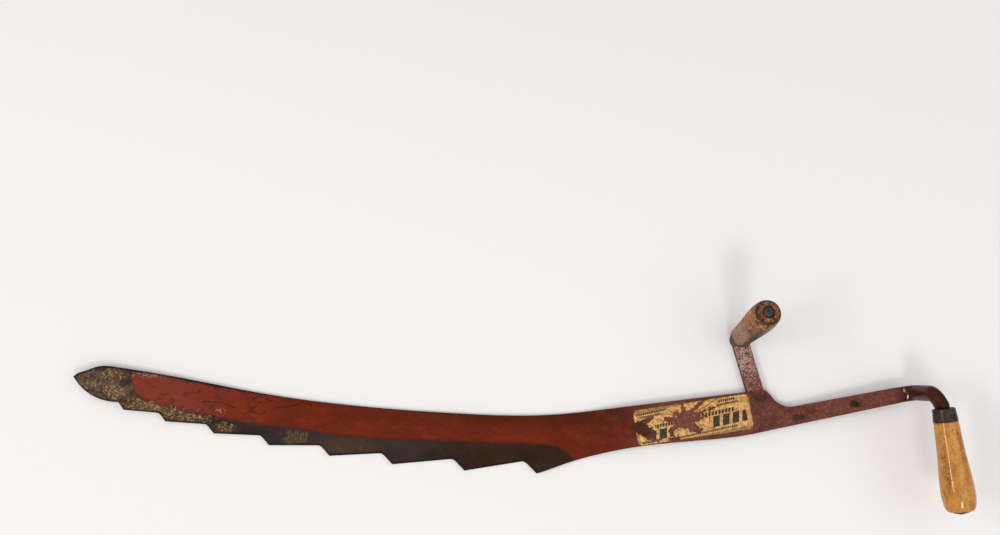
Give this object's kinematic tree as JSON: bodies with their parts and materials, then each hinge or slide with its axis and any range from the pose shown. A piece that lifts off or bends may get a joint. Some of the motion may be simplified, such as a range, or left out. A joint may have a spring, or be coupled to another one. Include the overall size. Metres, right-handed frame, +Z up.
{
  "type": "hay knife",
  "caption": "Two-handled hay knife: a long toothed blade riveted to a forged shank, with a turned side grip and a turned end grip.",
  "frame": {"origin": "on the flat underside, on the axis of the fore blade rivet; the knife lies flat as it rests", "axes": "+X from the blade's nose to the end grip, +Y towards the side grip, +Z up out of the blade's broad side"},
  "size_m": [0.9482, 0.2153, 0.113],
  "materials": {
    "blade_paint": "worn red paint over bare dark steel along the teeth",
    "shank_paint": "dull dark red paint, worn and dirty",
    "arm_paint": "mottled red paint worn thin",
    "dark_steel": "dark oxidised steel",
    "painted_rivet": "paint worn to steel",
    "side_wood": "weathered turned hardwood, grey at the foot",
    "end_wood": "glossy amber varnish",
    "label_paper": "aged paper label, matt"
  },
  "bodies": {
    "knife": {"blade": "blade_paint", "shank": "shank_paint", "side_arm": "arm_paint", "blade_rivets": "dark_steel", "arm_rivet": "painted_rivet", "label": "label_paper", "side_washer": "dark_steel", "side_burr": "dark_steel", "end_ferrule": "dark_steel", "end_grip": "end_wood", "end_burr": "dark_steel"},
    "side_grip": {"side_grip": "side_wood"}
  },
  "joints": [
    {"name": "side_grip_spin", "type": "hinge", "parent": "knife", "child": "side_grip", "pos_m": [0.10517, 0.10917, 0.05882], "axis": [0.0561, 0.1895, 0.9803], "continuous": true}
  ]
}
